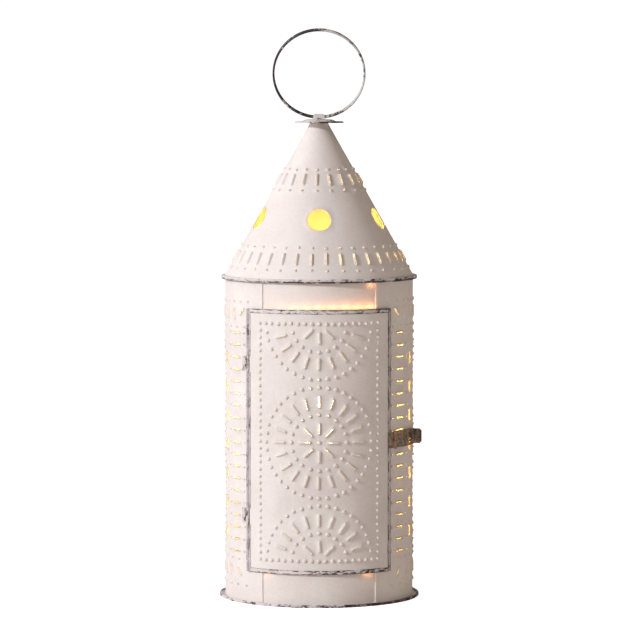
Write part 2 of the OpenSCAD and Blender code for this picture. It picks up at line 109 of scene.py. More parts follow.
def spread(tree, value, low, high, to_low=0.0, to_high=1.0):
    """The value with the span low..high stretched to to_low..to_high, and held at its ends."""
    made = put(tree, "MapRange", {0: value, 1: low, 2: high, 3: to_low, 4: to_high})
    return made.outputs[0]


def sums(tree, operation, first, second, third=0.0):
    values = {0: first, 1: second, 2: third}
    return put(tree, "Math", values, operation=operation).outputs[0]


def noise(tree, vector, size, detail=3.0, rough=0.55, warp=0.0):
    values = {"Vector": vector, "Scale": size, "Detail": detail, "Roughness": rough,
              "Distortion": warp}
    return put(tree, "TexNoise", values).outputs[0]


def start_group(name, inputs, outputs):
    """An empty node group with named inputs (name, kind, value) and outputs (name, kind)."""
    group = bpy.data.node_groups.new(name, "ShaderNodeTree")
    for label, kind, value in inputs:
        socket = group.interface.new_socket(name=label, in_out="INPUT",
                                            socket_type="NodeSocket" + kind)
        if value is not None:
            socket.default_value = value
    for label, kind in outputs:
        group.interface.new_socket(name=label, in_out="OUTPUT",
                                   socket_type="NodeSocket" + kind)
    entry = group.nodes.new("NodeGroupInput").outputs
    leave = group.nodes.new("NodeGroupOutput").inputs
    return group, entry, leave


def use_group(tree, group, values):
    made = tree.nodes.new("ShaderNodeGroup")
    made.node_tree = group
    fill(tree, made, values)
    return made.outputs


def blotch_group():
    """Slow cloudy change and fine speckle of a hand-painted sheet."""
    group, entry, leave = start_group(
        "paint_blotches",
        [("Vector", "Vector", None), ("Cloud Size", "Float", 22.0),
         ("Speckle Size", "Float", 420.0), ("Speckle Share", "Float", 0.3)],
        [("Value", "Float"), ("Height", "Float")])
    cloud = noise(group, entry["Vector"], entry["Cloud Size"], 4.0, 0.6, 0.4)
    speckle = noise(group, entry["Vector"], entry["Speckle Size"], 2.0, 0.5)
    joined = put(group, "Mix", {0: entry["Speckle Share"], 2: cloud, 3: speckle}).outputs[0]
    group.links.new(spread(group, joined, 0.36, 0.64), leave["Value"])
    group.links.new(speckle, leave["Height"])
    return group


def chip_group():
    """Flakes where paint is gone: a coarse noise cut by a finer one, and the thin
    lighter rim that a flake leaves round itself."""
    group, entry, leave = start_group(
        "paint_chips",
        [("Vector", "Vector", None), ("Flake Size", "Float", 160.0),
         ("Share", "Float", 0.5), ("Streak", "Vector", (1.0, 1.0, 1.0))],
        [("Bare", "Float"), ("Rim", "Float"), ("Grain", "Float")])
    along = put(group, "VectorMath", {0: entry["Vector"], 1: entry["Streak"]},
                operation="MULTIPLY").outputs[0]
    coarse = noise(group, along, entry["Flake Size"], 5.0, 0.62, 0.6)
    finer = sums(group, "MULTIPLY", entry["Flake Size"], 4.3)
    fine = noise(group, along, finer, 3.0, 0.6)
    both = put(group, "Mix", {0: 0.35, 2: coarse, 3: fine}).outputs[0]
    edge = sums(group, "SUBTRACT", 1.0, entry["Share"])
    level = spread(group, edge, 0.0, 1.0, 0.28, 0.72)
    over = sums(group, "SUBTRACT", both, level)
    group.links.new(spread(group, over, -0.012, 0.012), leave["Bare"])
    away = sums(group, "ABSOLUTE", over, 0.0)
    group.links.new(spread(group, away, 0.012, 0.035, 1.0, 0.0), leave["Rim"])
    group.links.new(fine, leave["Grain"])
    return group


def rust_group():
    """Rust that blooms over dark iron, with a crust that stands a little proud."""
    group, entry, leave = start_group(
        "iron_rust",
        [("Vector", "Vector", None), ("Patch Size", "Float", 130.0),
         ("Share", "Float", 0.5)],
        [("Rust", "Float"), ("Tone", "Float"), ("Height", "Float")])
    patch = noise(group, entry["Vector"], entry["Patch Size"], 5.0, 0.65, 0.5)
    tone = noise(group, entry["Vector"], sums(group, "MULTIPLY", entry["Patch Size"], 3.1),
                 4.0, 0.6)
    edge = sums(group, "SUBTRACT", 1.0, entry["Share"])
    level = spread(group, edge, 0.0, 1.0, 0.3, 0.7)
    over = sums(group, "SUBTRACT", patch, level)
    group.links.new(spread(group, over, -0.05, 0.05), leave["Rust"])
    group.links.new(spread(group, tone, 0.3, 0.7), leave["Tone"])
    group.links.new(tone, leave["Height"])
    return group


blotches = blotch_group()
chips = chip_group()
rust = rust_group()


# ---------------------------------------------------------------- materials

def new_material(name):
    """A material with its Principled shader, and the Object coordinates to work on."""
    material = bpy.data.materials.new(name)
    material.use_nodes = True
    tree = material.node_tree
    shader = tree.nodes["Principled BSDF"]
    place = put(tree, "TexCoord").outputs["Object"]
    return material, tree, shader, place


def give_bump(tree, shader, height, strength, distance):
    bump = put(tree, "Bump", {"Height": height, "Strength": strength, "Distance": distance})
    tree.links.new(bump.outputs[0], shader.inputs["Normal"])


def blotched(tree, place, cloud, speckle, share):
    return use_group(tree, blotches, {"Vector": place, "Cloud Size": cloud,
                                      "Speckle Size": speckle, "Speckle Share": share})


def cream_paint():
    """Chalky off-white paint, a touch pink, with painted shade in warm brown in the
    hollows at the foot of each punched mark, and duller inside the lantern."""
    material, tree, shader, place = new_material("cream_paint")
    spots = blotched(tree, place, 20.0, 520.0, 0.35)
    colour = mixed(tree, spots["Value"], (0.78, 0.715, 0.7, 1), (0.87, 0.82, 0.805, 1))
    foot = put(tree, "Attribute", attribute_name="foot").outputs["Fac"]
    # Painted shade: the ring at the foot of each punched mark is darkened towards a warm brown.
    foot_shade = sums(tree, "MULTIPLY", foot, 0.3)
    colour = mixed(tree, foot_shade, colour, (0.47, 0.39, 0.335, 1))
    inside = put(tree, "Attribute", attribute_name="inside").outputs["Fac"]
    inner = mixed(tree, spots["Value"], (0.76, 0.68, 0.52, 1), (0.84, 0.77, 0.62, 1))
    fill(tree, shader, {
        "Base Color": mixed(tree, inside, colour, inner),
        "Roughness": spread(tree, spots["Value"], 0, 1, 0.78, 0.6),
        "Specular IOR Level": 0.35})
    give_bump(tree, shader, spots["Height"], 0.25, 0.0002)
    return material


def worn_finish(name, share, flake, streak, paint, lit, edge_share=0.0, drift=0.0):
    """Paint worn through to dark metal: flakes of bare metal, a lighter rubbed rim
    round each flake, and cream or grey paint between them. Where the piece's edge
    attribute is 1, edge_share is added to the share; drift is added from left to right.
    A positive drift, more bare metal towards the right, is painted shade."""
    material, tree, shader, place = new_material(name)
    spots = blotched(tree, place, 60.0, 700.0, 0.45)
    edge = put(tree, "Attribute", attribute_name="edge").outputs["Fac"]
    worn = sums(tree, "MULTIPLY_ADD", edge, edge_share, share)
    across = put(tree, "SeparateXYZ", {0: place}).outputs["X"]
    # A positive drift raises the bare share towards the right: painted shade on the side turned
    # away from the key light.
    worn = sums(tree, "ADD", worn, spread(tree, across, -0.09, 0.09, -drift, drift))
    flakes = use_group(tree, chips, {"Vector": place, "Flake Size": flake,
                                     "Share": worn, "Streak": streak})
    painted = mixed(tree, spots["Value"], *paint)
    metal = mixed(tree, flakes["Grain"], *BARE_METAL)
    colour = mixed(tree, flakes["Bare"], painted, metal)
    rim = sums(tree, "MULTIPLY", flakes["Rim"], 0.5)
    fill(tree, shader, {
        "Base Color": mixed(tree, rim, colour, lit),
        "Roughness": spread(tree, flakes["Bare"], 0, 1, 0.7, 0.42),
        "Metallic": sums(tree, "MULTIPLY", flakes["Bare"], 0.45)})
    height = sums(tree, "SUBTRACT", flakes["Grain"], flakes["Bare"])
    give_bump(tree, shader, height, 0.5, 0.00025)
    return material


def aged_iron():
    """Dark iron with brown and orange rust."""
    material, tree, shader, place = new_material("aged_iron")
    crust = use_group(tree, rust, {"Vector": place, "Patch Size": 120.0, "Share": 0.5})
    iron = mixed(tree, crust["Tone"], (0.02, 0.016, 0.015, 1), (0.3, 0.28, 0.22, 1))
    bloom = mixed(tree, crust["Tone"], (0.12, 0.045, 0.02, 1), (0.62, 0.4, 0.29, 1))
    fill(tree, shader, {
        "Base Color": mixed(tree, crust["Rust"], iron, bloom),
        "Roughness": spread(tree, crust["Rust"], 0, 1, 0.45, 0.85),
        "Metallic": spread(tree, crust["Rust"], 0, 1, 0.4, 0.0)})
    give_bump(tree, shader, crust["Height"], 0.5, 0.0003)
    return material


def plain_metal(name, low, high, rough, size):
    """Metal with fine drawn scratches and a slow change of tarnish."""
    material, tree, shader, place = new_material(name)
    spots = blotched(tree, place, size, size * 9, 0.4)
    fill(tree, shader, {
        "Base Color": mixed(tree, spots["Value"], low, high), "Metallic": 0.9,
        "Roughness": spread(tree, spots["Value"], 0, 1, rough + 0.15, rough)})
    give_bump(tree, shader, spots["Height"], 0.3, 0.00015)
    return material


def moulded(name, low, high, rough, size, specular=0.4):
    """Moulded or pressed stuff with a fine mottled skin."""
    material, tree, shader, place = new_material(name)
    spots = blotched(tree, place, size, size * 12, 0.5)
    fill(tree, shader, {
        "Base Color": mixed(tree, spots["Value"], low, high),
        "Roughness": spread(tree, spots["Value"], 0, 1, rough + 0.1, rough),
        "Specular IOR Level": specular})
    give_bump(tree, shader, spots["Height"], 0.25, 0.0002)
    return material


def thin_glass(name, cloud, speckle, share, low, high, rough, alpha):
    """Thin clear glass, a little uneven. Returns its unevenness as well."""
    material, tree, shader, place = new_material(name)
    uneven = blotched(tree, place, cloud, speckle, share)["Value"]
    fill(tree, shader, {"Base Color": mixed(tree, uneven, low, high),
                        "Roughness": rough, "Alpha": alpha})
    return material, tree, shader, uneven


def glowing_glass():
    """Thin bulb glass, lit amber by its filament."""
    material, tree, shader, uneven = thin_glass(
        "bulb_glass", 30.0, 300.0, 0.1, (0.9, 0.75, 0.5, 1), (1, 0.86, 0.62, 1), 0.08, 0.6)
    glow = mixed(tree, uneven, (1.0, 0.62, 0.22, 1), (1.0, 0.69, 0.28, 1))
    fill(tree, shader, {"Emission Color": glow, "Emission Strength": 32.0})
    return material


def stem_glass():
    return thin_glass("stem_glass", 90.0, 500.0, 0.2, (0.8, 0.86, 0.85, 1),
                      (0.95, 0.98, 0.97, 1), 0.1, 0.5)[0]


def filament_glow():
    material, tree, shader, place = new_material("filament")
    coil = put(tree, "TexWave", {"Vector": place, "Scale": 900.0}, bands_direction="X")
    glow = mixed(tree, coil.outputs["Fac"], (1.0, 0.5, 0.12, 1), (1.0, 0.72, 0.3, 1))
    fill(tree, shader, {"Emission Color": glow, "Emission Strength": 60.0,
                        "Base Color": (0.3, 0.28, 0.25, 1)})
    return material


CREAM = ((0.66, 0.6, 0.6, 1), (0.82, 0.77, 0.76, 1))
LILAC = ((0.42, 0.38, 0.4, 1), (0.7, 0.65, 0.67, 1))
RUBBED = ((0.38, 0.37, 0.36, 1), (0.76, 0.74, 0.72, 1))
BARE_METAL = ((0.008, 0.006, 0.008, 1), (0.09, 0.07, 0.085, 1))

# Each row holds what its function takes after the name.
WORN = {
    # The positive drift of worn_edge and of the cap's look darkens the right-hand side: painted
    # shade.
    "worn_edge": (0.36, 135.0, (1.0, 1.0, 2.4), CREAM, (0.42, 0.38, 0.42, 1), 0.26, 0.12),
    "worn_upright": (0.36, 135.0, (2.4, 2.4, 0.8), LILAC, (0.42, 0.38, 0.42, 1), 0.26),
    "worn_strap": (0.42, 190.0, (1.6, 1.6, 0.8), CREAM, (0.42, 0.38, 0.4, 1)),
    "worn_paint": (0.36, 150.0, (1.0, 1.0, 1.6), CREAM, (0.5, 0.46, 0.45, 1)),
    "worn_ring": (0.56, 62.0, (1.0, 1.6, 1.0), RUBBED, (0.5, 0.49, 0.48, 1), 0.0, -0.5),
    # Cap: worn paint, with painted shade from its drift that makes the right-hand side darker.
    "worn_and_shaded_cap": (0.4, 110.0, (1.0, 1.0, 1.6), CREAM, (0.5, 0.46, 0.45, 1), 0.1, 1.2),
}
METAL = {
    "plated_steel": ((0.36, 0.34, 0.31, 1), (0.56, 0.54, 0.5, 1), 0.35, 60.0),
    "brass": ((0.42, 0.28, 0.1, 1), (0.68, 0.48, 0.19, 1), 0.28, 80.0),
    "bulb_cap_metal": ((0.5, 0.49, 0.46, 1), (0.7, 0.69, 0.66, 1), 0.3, 120.0),
}
MOULDED = {
    "black_rubber": ((0.012, 0.011, 0.01, 1), (0.035, 0.032, 0.03, 1), 0.65, 90.0, 0.3),
    "brown_phenolic": ((0.02, 0.011, 0.007, 1), (0.05, 0.03, 0.02, 1), 0.3, 120.0),
    "black_insulator": ((0.008, 0.008, 0.009, 1), (0.02, 0.02, 0.022, 1), 0.25, 200.0, 0.5),
    "candle_card": ((0.72, 0.63, 0.44, 1), (0.84, 0.76, 0.58, 1), 0.6, 45.0, 0.3),
}
finish = {"cream_paint": cream_paint(), "aged_iron": aged_iron(),
          "bulb_glass": glowing_glass(), "stem_glass": stem_glass(),
          "filament": filament_glow()}
for make, table in ((worn_finish, WORN), (plain_metal, METAL), (moulded, MOULDED)):
    for name, row in table.items():
        finish[name] = make(name, *row)


# ---------------------------------------------------------------- mesh helpers

def welded(points, faces, extra):
    """Merges points at one place, so that seams and poles are closed. A quad with two
    corners at one place becomes a triangle. faces is a list of arrays of corners."""
    _, keep, number = np.unique(points.round(4), axis=0, return_index=True,
                                return_inverse=True)
    merged = []
    for corners in faces:
        corners = number.ravel()[corners]
        same = corners == np.roll(corners, -1, 1)
        merged += corners[~same.any(1)].tolist()
        if corners.shape[1] == 4:
            rest = corners[same.sum(1) == 1]
            stay = ~same[same.sum(1) == 1]
            merged += rest[stay].reshape(-1, 3).tolist()
    return points[keep], merged, {label: values[keep] for label, values in extra.items()}


def make_piece(name, points, faces, body, slot, replaced=(), attributes=None, look=None):
    """Mesh object from points in mm and arrays of corner numbers, riding on a body."""
    points, faces, attributes = welded(points, faces, attributes or {})
    mesh = bpy.data.meshes.new(name)
    mesh.from_pydata((points * MM).tolist(), [], faces)
    mesh.polygons.foreach_set("use_smooth", np.ones(len(mesh.polygons), bool))
    mesh.set_sharp_from_angle(angle=math.radians(40))
    for label, values in attributes.items():
        layer = mesh.attributes.new(label, "FLOAT", "POINT")
        layer.data.foreach_set("value", np.asarray(values, np.float32))
    mesh.materials.append(finish[look or slot])
    piece = bpy.data.objects.new(name, mesh)
    bpy.context.scene.collection.objects.link(piece)
    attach(piece, body)
    if replaced:
        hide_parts(*replaced)
    return piece


def grid_faces(rows, columns, rows_close=False, columns_close=False):
    """Quads of a grid of points whose rows and columns may each close on themselves."""
    row = np.arange(rows if rows_close else rows - 1)
    column = np.arange(columns if columns_close else columns - 1)
    i, j = (part.ravel() for part in np.meshgrid(row, column, indexing="ij"))
    after_i = (i + 1) % rows
    after_j = (j + 1) % columns
    corners = (i * columns + j, i * columns + after_j,
               after_i * columns + after_j, after_i * columns + j)
    return np.stack(corners, 1)


def at(radius, degrees, height):
    """Points round the lantern's axis, from the front towards the latch side."""
    turn = np.radians(degrees)
    return np.stack(np.broadcast_arrays(radius * np.sin(turn), -radius * np.cos(turn),
                                        height), -1)


def ripple(turn, size, seed):
    """Gentle unevenness of hand-folded metal: four sine waves of rising frequency."""
    order = np.arange(1, 5)
    phase = seed * order * 1.7
    count = np.array([3, 7, 13, 29])
    waves = np.sin(np.multiply.outer(np.radians(turn), count) + phase)
    return size * (waves / order).sum(-1) / 2


def rounded(corners, radius, steps=3):
    """Closed outline whose corners are rounded: each corner becomes a quadratic curve
    between two points at the radius from it along its two sides."""
    corners = np.asarray(corners, float)
    radius = np.broadcast_to(radius, len(corners))[:, None]
    before = np.roll(corners, 1, 0) - corners
    after = np.roll(corners, -1, 0) - corners
    start = corners + before / np.linalg.norm(before, axis=1, keepdims=True) * radius
    end = corners + after / np.linalg.norm(after, axis=1, keepdims=True) * radius
    t = np.linspace(0, 1, steps + 1)[None, :, None]
    curve = ((1 - t) ** 2 * start[:, None] + 2 * t * (1 - t) * corners[:, None]
             + t ** 2 * end[:, None])
    return curve.reshape(-1, 2)


def lathe(name, outline, slot, replaced, steps=192, wobble=0.0, heave=0.0, seed=1,
          look=None, edges=0.0):
    """Closed outline of radius and height, carried round the axis. The outline runs
    anticlockwise with the radius to the right; wobble ripples its radius where that
    isn't nought, and heave its height. edges is 1 at outline points that rub."""
    turn = np.arange(steps) * 360 / steps
    wide = outline[None, :, 0]
    radius = wide + ripple(turn, wobble, seed)[:, None] * (wide > 0)
    height = outline[None, :, 1] + ripple(turn, heave, seed + 3)[:, None]
    points = at(radius, turn[:, None], height)
    faces = grid_faces(steps, len(outline), True, True)
    rubbed = np.broadcast_to(edges, points.shape[:2]).ravel()
    return make_piece(name, points.reshape(-1, 3), [faces], "lantern_body", slot, replaced,
                      {"edge": rubbed}, look)


def carried(name, stations, body, slot, replaced, look=None, edges=0.0):
    """Closed outline carried through an array of stations (station, point, xyz), with a
    flat face at both ends. The outline runs anticlockwise when seen against the path.
    edges is 1 at outline points that rub."""
    rows, columns = stations.shape[:2]
    first = np.arange(columns)[None, :]
    faces = [grid_faces(rows, columns, False, True)[:, ::-1], first[:, ::-1],
             first + (rows - 1) * columns]
    rubbed = np.broadcast_to(edges, (rows, columns)).ravel()
    return make_piece(name, stations.reshape(-1, 3), faces, body, slot, replaced,
                      {"edge": rubbed}, look)


# ---------------------------------------------------------------- punched sheets

# A stamp is the section of one punched mark, from the flat outside, over the raised
# lip, through the pierced hole, and back to the flat inside. Each ring has a distance
# from the mark's core, a height over the sheet, a shift across the mark, and a tilt, by
# which the ring sinks on the side that it is shifted to and rises on the other.
SHEET_T = 0.6
DOME = ((2.15, 0, 0, 0), (1.8, 0.34, 0, 0), (1.5, 1.05, 0, 0), (0.85, 1.55, 0, 0),
        (0.1, 1.5, 0, 0), (0.9, -0.3, 0, 0), (2.1, -SHEET_T, 0, 0))
OPEN_DOT = ((1.75, 0, 0, 0), (1.4, 0.3, 0, 0), (1.1, 0.9, 0, 0), (0.76, 1.18, 0, 0),
            (0.5, 0.9, 0, 0), (0.95, -0.35, 0, 0), (1.75, -SHEET_T, 0, 0))
SHUT_SLOT = ((1.95, 0, 0, 0), (1.5, 0.34, 0, 0), (1.12, 1.1, 0, 0), (0.5, 1.5, 0, 0),
             (0.02, 1.4, 0, 0), (0.8, -0.35, 0, 0), (1.95, -SHEET_T, 0, 0))
OPEN_SLOT = ((1.65, 0, 0, 0), (1.3, 0.28, 0, 0), (1.02, 0.88, 0, 0), (0.68, 1.12, 0, 0),
             (0.46, 0.75, 0, 0), (0.85, -0.36, 0, 0), (1.65, -SHEET_T, 0, 0))
FRONT_SLOT = ((1.8, 0, 0, 0), (1.6, 0.3, 0, 0), (1.4, 0.6, 0.1, 0.3),
              (1.2, 0.7, 0.2, 0.6), (1.0, 0.4, 0.1, 0.5), (1.2, -0.36, 0, 0),
              (1.8, -SHEET_T, 0, 0))
LOUVRE_SLOT = ((1.8, 0, 0, 0), (1.45, 0.32, 0, 0), (1.12, 0.98, 0.12, 0.2),
               (0.42, 1.3, 0.42, 0.45), (0.16, 0.95, 0.5, 0.25), (0.85, -0.36, 0, 0),
               (1.8, -SHEET_T, 0, 0))
DOT_POINTS = 8
SLOT_POINTS = 10
VENT_POINTS = 44
OUTLET_POINTS = 24
SLOT_END = 1.15
VENT = ((12.0, 0, 0, 0), (11.7, 0.16, 0, 0), (11.35, 0.16, 0, 0), (11.1, -0.1, 0, 0),
        (11.1, -0.5, 0, 0), (11.5, -0.64, 0, 0), (12.0, -SHEET_T, 0, 0))
OUTLET = ((5.2, 0, 0, 0), (5.2, -0.3, 0, 0), (5.2, -SHEET_T, 0, 0))

# The web's own points keep this far from the core of every dot and slot.
MARK_CLEARANCE = 2.9


def outline_turns(count, long):
    """Directions of a mark's outline points, and which end of its core each is on."""
    if not long:
        return np.arange(count) * 2 * np.pi / count, np.zeros(count)
    cap = np.linspace(-np.pi / 2, np.pi / 2, count // 2)
    return np.concatenate([cap, cap + np.pi]), np.repeat([1.0, -1.0], count // 2)


def stamp_marks(marks, stamp, count):
    """Rings of all marks at once, as an array (mark, ring, point, 3) of flat place and
    height: the core's end, plus the ring's distance in each point's direction, plus its
    shift across the mark."""
    distance, height, shift, tilt = np.asarray(stamp, float).T
    turn, side = outline_turns(count, marks[:, 3].max() > 0)
    lean = np.radians(marks[:, 2])[:, None]
    heading = np.stack([np.cos(lean + turn), np.sin(lean + turn)], -1)
    core = np.stack([np.cos(lean), np.sin(lean)], -1) * (marks[:, 3][:, None] * side)[..., None]
    across = np.stack([-np.sin(lean), np.cos(lean)], -1)
    flat = (marks[:, None, None, :2] + core[:, None]
            + distance[None, :, None, None] * heading[:, None]
            + shift[None, :, None, None] * across[:, :, None])
    sunk = (heading * across).sum(-1)[:, None]
    high = height[None, :, None] - tilt[None, :, None] * sunk
    return np.concatenate([flat, high[..., None]], -1)


def lattice(low, high, step, marks):
    """Staggered points over a rectangle, without those near a mark's core."""
    s = np.arange(low[0] + step / 2, high[0], step)
    t = np.arange(low[1] + step / 2, high[1], step * 1.25)
    grid = np.stack(np.meshgrid(s, t), -1)
    grid[1::2, :, 0] += step * 0.4
    grid = grid.reshape(-1, 2)
    grid = grid[grid[:, 0] < high[0] - step * 0.3]
    lean = np.radians(marks[:, 2])
    heading = np.stack([np.cos(lean), np.sin(lean)], -1)
    offset = grid[:, None] - marks[None, :, :2]
    along = np.einsum("nmk,mk->nm", offset, heading)
    along = np.clip(along, -marks[:, 3], marks[:, 3])
    gap = np.linalg.norm(offset - along[..., None] * heading, axis=-1)
    return grid[(gap > MARK_CLEARANCE).all(1)]


def web_of(flat, loops, owner):
    """Triangles between the outline and the marks. A constrained triangulation of the
    flat sheet keeps every outline edge; triangles whose corners all belong to one mark
    fill that mark, and are left out."""
    edges = np.concatenate([np.stack([loop, np.roll(loop, -1, -1)], -1).reshape(-1, 2)
                            for loop in loops])
    points, _, faces, _, _, _ = delaunay_2d_cdt(
        [Vector(p) for p in flat.tolist()], edges.tolist(), [], 1, 1e-6)
    if len(points) != len(flat):
        raise RuntimeError(f"marks touch: {len(flat)} points became {len(points)}")
    web = np.asarray(faces)
    a, b, c = (flat[web[:, k]] for k in range(3))
    area = (b[:, 0] - a[:, 0]) * (c[:, 1] - a[:, 1]) - (b[:, 1] - a[:, 1]) * (c[:, 0] - a[:, 0])
    web[area < 0] = web[area < 0][:, ::-1]
    whose = owner[web]
    filled = (whose[:, 0] >= 0) & (whose == whose[:, :1]).all(1)
    return web[~filled]


def punched_sheet(outline, inner_points, groups, walled=None):
    """Solid sheet with stamped marks, as flat place and height. Its outer and inner
    faces are one triangulated web at two heights; each mark's rings join the two, and
    a wall of quads closes the outline, or those of its edges that walled marks. groups
    holds (marks, stamp, points) for dots, slots and holes. Returns points (s, t,
    height), faces, and the values of foot, which is 1 at the foot of a mark, and of
    inside, which is 1 on the inner face."""
    stamped = [stamp_marks(*group) for group in groups]
    flat = [outline, inner_points] + [rings[:, 0, :, :2].reshape(-1, 2) for rings in stamped]
    first = np.cumsum([0] + [len(part) for part in flat])
    flat = np.concatenate(flat)
    owner = np.full(len(flat), -1)
    loops = [np.arange(len(outline))]
    tables = []
    made = 0
    for rings, start in zip(stamped, first[2:]):
        marks, _, count = rings.shape[:3]
        table = start + np.arange(marks * count).reshape(marks, count)
        owner[table] = made + np.arange(marks)[:, None]
        made += marks
        loops.append(table)
        tables.append(table)
    web = web_of(flat, loops, owner)
    size = len(flat)
    outer = np.column_stack([flat, np.zeros(size)])
    inner = np.column_stack([flat, np.full(size, -SHEET_T)])
    points = [outer, inner]
    foot = [np.zeros(2 * size)]
    inside = [np.zeros(size), np.ones(size)]
    quads = []
    used = 2 * size
    for rings, table in zip(stamped, tables):
        marks, depth, count = rings.shape[:3]
        middle = rings[:, 1:-1].reshape(-1, 3)
        number = used + np.arange(len(middle)).reshape(marks, depth - 2, count)
        number = np.concatenate([table[:, None], number, size + table[:, None]], 1)
        after = np.roll(number, -1, 2)
        strip = np.stack([number[:, :-1], after[:, :-1], after[:, 1:], number[:, 1:]], -1)
        quads.append(strip.reshape(-1, 4))
        level = np.broadcast_to(np.arange(1, depth - 1)[None, :, None],
                                (marks, depth - 2, count)).ravel()
        points.append(middle)
        foot.append((level == 1) * 1.0)
        inside.append((level > (depth - 1) / 2) * 1.0)
        used += len(middle)
    ring = np.arange(len(outline))
    after = np.roll(ring, -1)
    wall = np.stack([ring, ring + size, after + size, after], -1)
    quads.append(wall if walled is None else wall[walled])
    faces = [np.concatenate([web, web[:, ::-1] + size]), np.concatenate(quads)]
    return (np.concatenate(points), faces,
            {"foot": np.concatenate(foot), "inside": np.concatenate(inside)})


def rectangle(low, high, step):
    """Points round a rectangle, anticlockwise, about a step apart."""
    across = max(2, round((high[0] - low[0]) / step))
    up = max(2, round((high[1] - low[1]) / step))
    s = np.linspace(low[0], high[0], across + 1)
    t = np.linspace(low[1], high[1], up + 1)
    return np.concatenate([
        np.column_stack([s[:-1], np.full(across, low[1])]),
        np.column_stack([np.full(up, high[0]), t[:-1]]),
        np.column_stack([s[:0:-1], np.full(across, high[1])]),
        np.column_stack([np.full(up, low[0]), t[:0:-1]])])


# ---------------------------------------------------------------- punched pattern

def dots_at(s, t):
    s, t = np.broadcast_arrays(np.asarray(s, float), np.asarray(t, float))
    blank = np.zeros(s.size)
    return np.column_stack([s.ravel(), t.ravel(), blank, blank])


def slots_at(s, t, lean, length):
    s, t, lean = np.broadcast_arrays(*(np.asarray(x, float) for x in (s, t, lean)))
    half = np.full(s.size, length / 2 - SLOT_END)
    return np.column_stack([s.ravel(), t.ravel(), lean.ravel(), half])


SLOT_RING = 37.6


def rosette(centre, scale, facing=0):
    """Rings of dots and slots round a centre, drawn in by the scale. A facing of 1 or
    -1 keeps only the upper or lower half, as a fan."""

    def ring(count, radius):
        turn = np.arange(count) * 360 / count
        if facing:
            turn = turn[np.sin(np.radians(turn)) * facing > 0.1]
        out = radius * scale
        return (centre[0] + out * np.cos(np.radians(turn)),
                centre[1] + out * np.sin(np.radians(turn)), turn)

    dots = [dots_at(*ring(20, 26)[:2]), dots_at(*ring(40, 51.3)[:2])]
    if not facing:
        dots.append(dots_at(*centre))
    slots = [slots_at(*ring(8, 13.4), 11), slots_at(*ring(20, SLOT_RING), 11.2)]
    return np.concatenate(dots), np.concatenate(slots)


def panel(centre, half_width, low, high, scale):
    """Frame of dots with a rosette in its middle and a fan at its top and bottom."""
    across = np.linspace(-half_width, half_width, 19) + centre
    up = np.linspace(low, high, round((high - low) / 6.45) + 1)[1:-1]
    dots = [dots_at(across, low), dots_at(across, high),
            dots_at(centre - half_width, up), dots_at(centre + half_width, up)]
    slots = []
    for height, facing in ((low, 1), ((low + high) / 2, 0), (high, -1)):
        more_dots, more_slots = rosette((centre, height), scale, facing)
        dots.append(more_dots)
        slots.append(more_slots)
    return np.concatenate(dots), np.concatenate(slots)


def struck_by_hand(marks, place=0.22, lean=1.4):
    """The marks with the small errors of a hammer and a chisel."""
    marks = marks.copy()
    marks[:, :2] += rng.normal(0, place, (len(marks), 2)).clip(-2 * place, 2 * place)
    marks[:, 2] += rng.normal(0, lean, len(marks)).clip(-2 * lean, 2 * lean)
    return marks


def clear_of(marks, s, t, reach_s, reach_t):
    """The marks that lie outside a box round a place on the sheet."""
    near = (abs(marks[:, 0] - s) < reach_s) & (abs(marks[:, 1] - t) < reach_t)
    return marks[~near]


PANEL_HALF_WIDTH = 58.4


def build_door_sheet():
    """Panel of the door; the slot at the top of its rosette is pierced wider."""
    low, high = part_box("door_panel")
    radius = -low.y / MM
    left, right = (math.asin(corner.x / MM / radius) * radius for corner in (low, high))
    bottom, top = low.z / MM, high.z / MM
    middle = (bottom + top) / 2
    half_height = 109.7
    dots, slots = panel(0, PANEL_HALF_WIDTH, middle - half_height, middle + half_height, 1.0)
    dots, slots = struck_by_hand(dots), struck_by_hand(slots)
    gaping = np.linalg.norm(slots[:, :2] - (0, middle + SLOT_RING), axis=1) < 3
    corner_low, corner_high = (left, bottom), (right, top)
    step = 4.4
    inner = lattice(corner_low, corner_high, step, np.concatenate([dots, slots]))
    points, faces, extra = punched_sheet(
        rectangle(corner_low, corner_high, step), inner,
        [(dots, DOME, DOT_POINTS), (slots[~gaping], SHUT_SLOT, SLOT_POINTS),
         (slots[gaping], OPEN_SLOT, SLOT_POINTS)])
    wrapped = at(radius + points[:, 2], np.degrees(points[:, 0] / radius), points[:, 1])
    make_piece("door_sheet", wrapped, faces, "door", "cream_paint", ("door_panel",), extra)


# The drum's marks. LADDER has the angles of a ladder's inner dots, its rungs, its outer
# dots and the row of upright slots after it, on the latch side and on the hinge side.
# Rows of border dots are (count, degrees apart, height), of border slots also a length.
LADDER = {1: (49.9, 57.7, 66.4, 72.5), -1: (51.6, 59.7, 68.4, 74.0)}
RUNG_HEIGHTS = 252 - 11.35 * np.arange(19)
UPRIGHT_HEIGHTS = 65 + 27 * np.arange(7)
HASP_PLACE = (68.6, 152.7)
STRAP_HEIGHTS = (224, 82)
BORDER_DOTS = ((37, 7.33, 281), (33, 8.05, 257.6), (30, 9.0, 16), (31, 8.2, 41))
BORDER_SLOTS = ((26, 9.4, 269.6, 11.4), (25, 9.4, 28.8, 10.4))
BACK_LADDER_HALF = 13.2
OUTLET_HEIGHT = 16
MOUTH_ANGLE = 36.1


